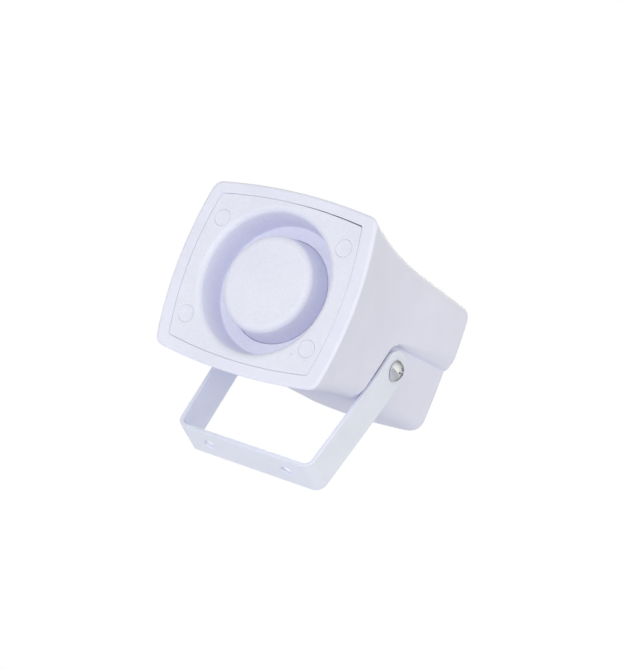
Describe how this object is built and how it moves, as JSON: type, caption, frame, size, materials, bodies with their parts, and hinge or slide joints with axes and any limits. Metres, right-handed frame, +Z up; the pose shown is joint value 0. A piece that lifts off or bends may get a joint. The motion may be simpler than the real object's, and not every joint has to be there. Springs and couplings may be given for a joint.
{
  "type": "alarm siren",
  "caption": "Small wired alarm siren: flared white plastic horn housing with a recessed horn round a centre plug, tilting in a U-shaped steel bracket.",
  "frame": {"origin": "middle of the underside of the bracket's base, between its two mounting holes", "axes": "+Z up the bracket's legs to the tilt axis, -Y the way the siren faces, +X along the tilt axis, to the right when the siren is seen from in front with +Y away from the viewer"},
  "size_m": [0.0766, 0.1114, 0.1045],
  "materials": {
    "painted_steel": "satin white powder paint",
    "housing_plastic": "matt moulded white ABS",
    "face_plastic": "matt moulded white ABS with a fine grain",
    "foam": "closed-cell foam",
    "zinc_steel": "zinc-plated steel",
    "cone_paper": "pressed paper",
    "copper_wire": "enamelled copper wire",
    "ferrite": "sintered ferrite",
    "tag_brass": "plain brass",
    "lead_insulation": "red wire insulation",
    "nylon": "natural nylon",
    "bright_nickel": "bright nickel plate",
    "board_laminate": "green solder mask on glass laminate",
    "lamination_steel": "varnished steel laminations",
    "black_epoxy": "moulded black epoxy",
    "capacitor_sleeve": "shrunk plastic sleeve",
    "resistor_coat": "dipped lacquer",
    "terminal_green": "moulded green nylon",
    "black_rubber": "soft black rubber"
  },
  "bodies": {
    "bracket": {"bracket": "painted_steel"},
    "siren": {"housing": "housing_plastic", "face_gasket": "foam", "face_plate": "face_plastic", "face_screws": "zinc_steel", "screw_caps": "face_plastic", "centre_plug": "face_plastic", "throat_cup": "housing_plastic", "driver_gasket": "foam", "driver_frame": "zinc_steel", "surround": "cone_paper", "top_pole_plate": "zinc_steel", "ring_magnet": "ferrite", "back_pole_plate": "zinc_steel", "driver_screws": "zinc_steel", "driver_terminals": "tag_brass", "driver_leads": "lead_insulation", "friction_washers": "nylon", "pivot_inserts": "tag_brass", "pivot_screw_left": "bright_nickel", "pivot_screw_right": "bright_nickel", "circuit_board": "board_laminate", "board_screws": "zinc_steel", "transformer_core": "lamination_steel", "transformer_coil": "copper_wire", "power_transistor": "black_epoxy", "capacitor": "capacitor_sleeve", "control_chip": "black_epoxy", "resistors": "resistor_coat", "terminal_block": "terminal_green", "terminal_screws": "zinc_steel", "cable_grommet": "black_rubber"},
    "cone": {"diaphragm": "cone_paper", "voice_coil": "copper_wire"}
  },
  "joints": [
    {"name": "tilt", "type": "hinge", "parent": "bracket", "child": "siren", "pos_m": [0, 0, 0.0519], "axis": [1, 0, 0], "range_deg": [-113, 3]},
    {"name": "cone_travel", "type": "slide", "parent": "siren", "child": "cone", "axis": [0, -0.9153, -0.4027], "range_m": [-0.0004, 0.0004], "stiffness_N_per_m": 2000}
  ]
}
